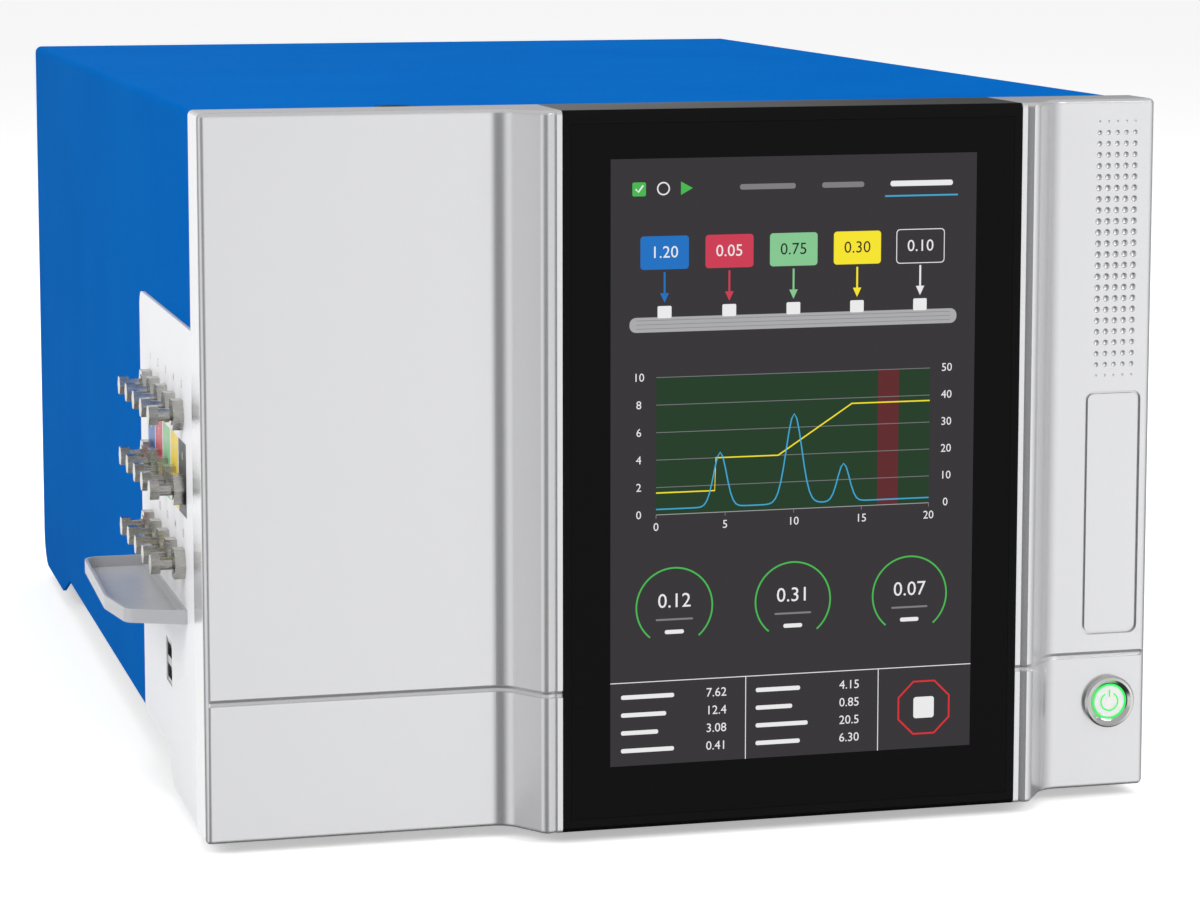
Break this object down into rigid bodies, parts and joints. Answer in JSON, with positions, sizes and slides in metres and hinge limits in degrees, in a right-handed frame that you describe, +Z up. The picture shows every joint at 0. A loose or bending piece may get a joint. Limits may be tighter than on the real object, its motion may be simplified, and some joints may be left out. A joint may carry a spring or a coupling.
{
  "type": "field-flow fractionation system",
  "caption": "Benchtop field-flow fractionation instrument with a portrait touch screen, sculpted silver front, blue cover, side fittings panel and drip tray.",
  "frame": {"origin": "on the bench, under the middle of the housing between the front flat and the rear edge", "axes": "+X to the right as seen from the front, +Y to the back, +Z up"},
  "size_m": [0.385, 0.5825, 0.266],
  "materials": {
    "blue_paint": "fine satin powder coat",
    "silver_moulding": "satin metallic lacquer on a moulded shell",
    "white_sheet": "satin white powder coat",
    "black_bezel": "gloss black",
    "cover_glass": "clear over black border",
    "screen": "lit screen",
    "polished_collar": "polished",
    "green_light": "lit",
    "button_cap": "pearl white",
    "stainless": "turned",
    "zinc_sheet": "zinc plated",
    "black_rubber": "matt",
    "black_plastic": "fine texture",
    "green_board": "solder mask",
    "tin_plate": "stamped",
    "brass": "turned",
    "green_plastic": "moulded",
    "peek": "machined",
    "painted_panel": "satin light grey",
    "clear_fuse": "clear",
    "grey_plastic": "flexible"
  },
  "bodies": {
    "housing": {"base_chassis": "zinc_sheet", "front_frame": "zinc_sheet", "top_cover": "blue_paint", "rear_panel": "painted_panel", "left_fascia": "silver_moulding", "right_fascia": "silver_moulding", "badge_insert": "silver_moulding", "display_bezel": "black_bezel", "display_glass": "cover_glass", "lcd_panel": "screen", "display_board": "green_board", "button_collar": "polished_collar", "button_light_ring": "green_light", "button_switch": "black_plastic", "button_nut": "zinc_sheet", "side_panel": "white_sheet", "bulkhead_unions": "stainless", "panel_nuts": "stainless", "tube_plugs": "stainless", "drip_tray": "white_sheet", "usb_port": "tin_plate", "port_board": "green_board", "top_plug": "black_plastic", "rubber_feet": "black_rubber", "foot_screws": "zinc_sheet", "cover_screws": "zinc_sheet", "rear_screws": "zinc_sheet", "fascia_screws": "zinc_sheet", "mains_inlet": "black_plastic", "inlet_pins": "stainless", "fan_frame": "black_plastic", "fan_guard": "tin_plate", "fan_screws": "zinc_sheet", "network_ports": "tin_plate", "signal_terminals": "green_plastic", "ground_stud": "brass", "power_supply": "zinc_sheet", "main_board": "green_board", "board_standoffs": "zinc_sheet", "manifold_bracket": "zinc_sheet", "flow_manifold": "peek", "capillary_tubes": "peek", "flow_controllers": "tin_plate", "valve_stator": "stainless", "valve_motor": "black_plastic", "pressure_sensors": "stainless", "inline_filter": "stainless", "solenoid_valves": "black_plastic", "ribbon_cable": "grey_plastic"},
    "button_cap": {"power_button": "button_cap"},
    "rocker": {"mains_rocker": "black_plastic"},
    "drawer": {"fuse_drawer": "black_plastic", "fuses": "clear_fuse"},
    "fan": {"fan_rotor": "black_plastic"},
    "valve": {"valve_rotor": "peek"}
  },
  "joints": [
    {"name": "power_button_press", "type": "slide", "parent": "housing", "child": "button_cap", "axis": [0, 1, 0], "range_m": [0, 0.002], "stiffness_N_per_m": 600},
    {"name": "mains_rocker_tilt", "type": "hinge", "parent": "housing", "child": "rocker", "pos_m": [0.128, 0.2745, 0.0805], "axis": [1, 0, 0], "range_deg": [-16, 0]},
    {"name": "fuse_drawer_slide", "type": "slide", "parent": "housing", "child": "drawer", "axis": [0, 1, 0], "range_m": [0, 0.015]},
    {"name": "fan_spin", "type": "hinge", "parent": "housing", "child": "fan", "pos_m": [0.1, 0.262, 0.19], "axis": [0, 1, 0], "continuous": true},
    {"name": "valve_turn", "type": "hinge", "parent": "housing", "child": "valve", "pos_m": [-0.005, -0.11, 0.15], "axis": [0, 1, 0], "range_deg": [0, 60]}
  ]
}
